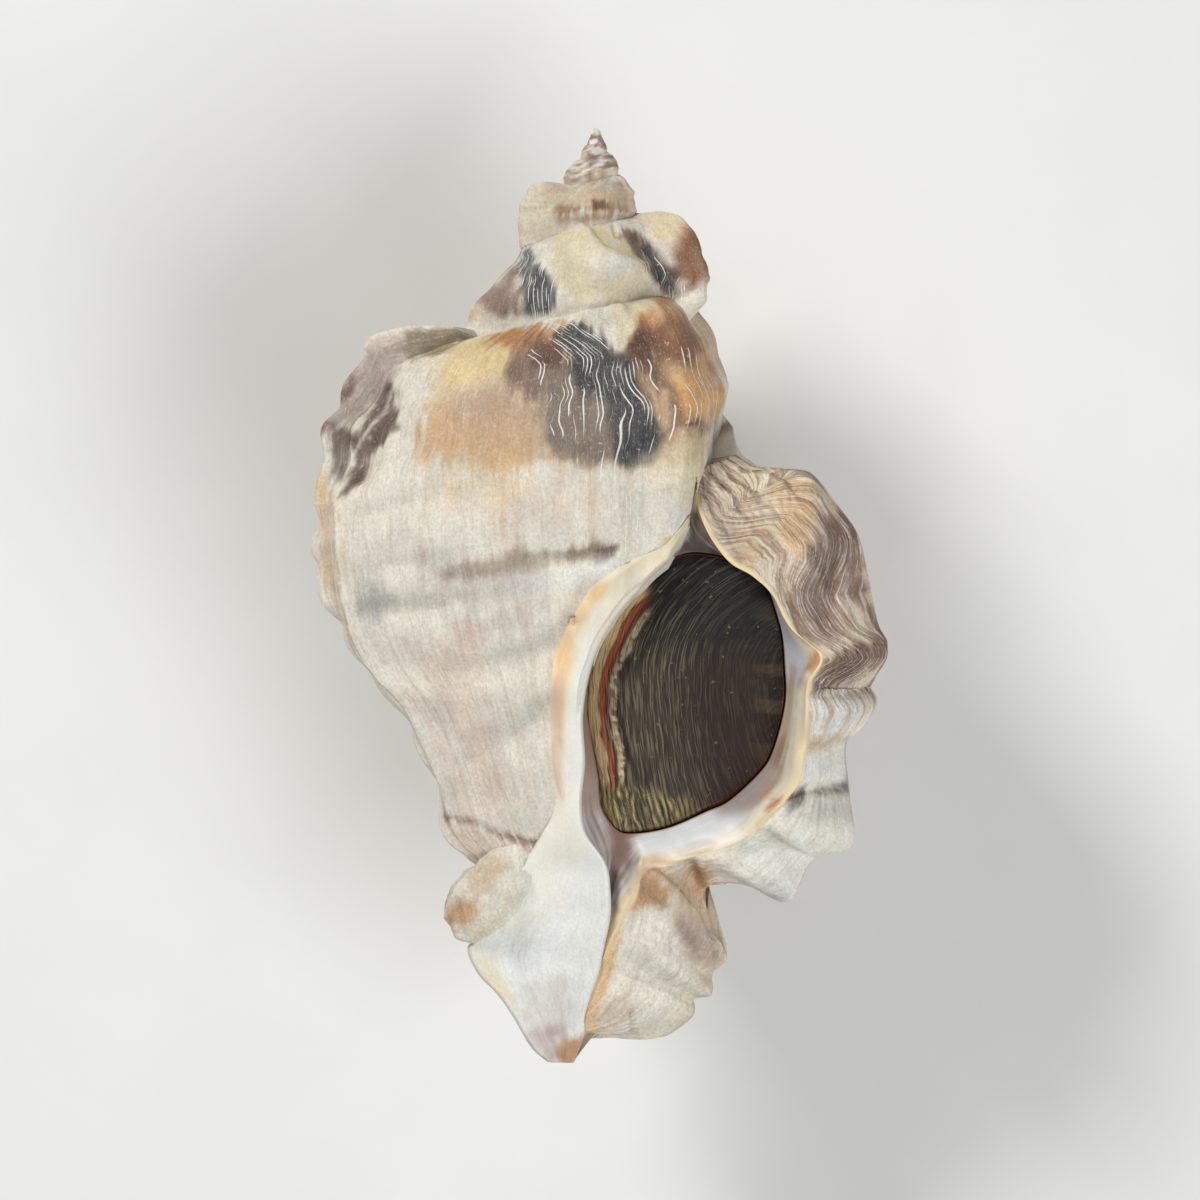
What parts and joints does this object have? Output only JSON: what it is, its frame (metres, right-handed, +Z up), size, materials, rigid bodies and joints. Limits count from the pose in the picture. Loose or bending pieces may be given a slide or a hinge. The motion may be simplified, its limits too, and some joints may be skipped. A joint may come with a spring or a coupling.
{
  "type": "murex seashell with operculum",
  "caption": "Coiled whelk-like shell with wing-shaped varices, a short spire, an open canal and a dark horny operculum in its aperture.",
  "frame": {"origin": "centre of the bounding box in plan, on the floor that the shell lies on", "axes": "+Y along the shell from canal to apex, +X towards the outer lip, +Z up, out of the aperture"},
  "size_m": [0.0638, 0.1046, 0.0462],
  "materials": {
    "shell": "matt chalky shell, cream white with tan, orange-brown and blue-black zones, glossy white in the aperture",
    "horn": "satin horn, olive black to dark brown with fine growth lines and a rust-red margin"
  },
  "bodies": {
    "root": {"shell": "shell", "operculum": "horn"}
  },
  "joints": []
}
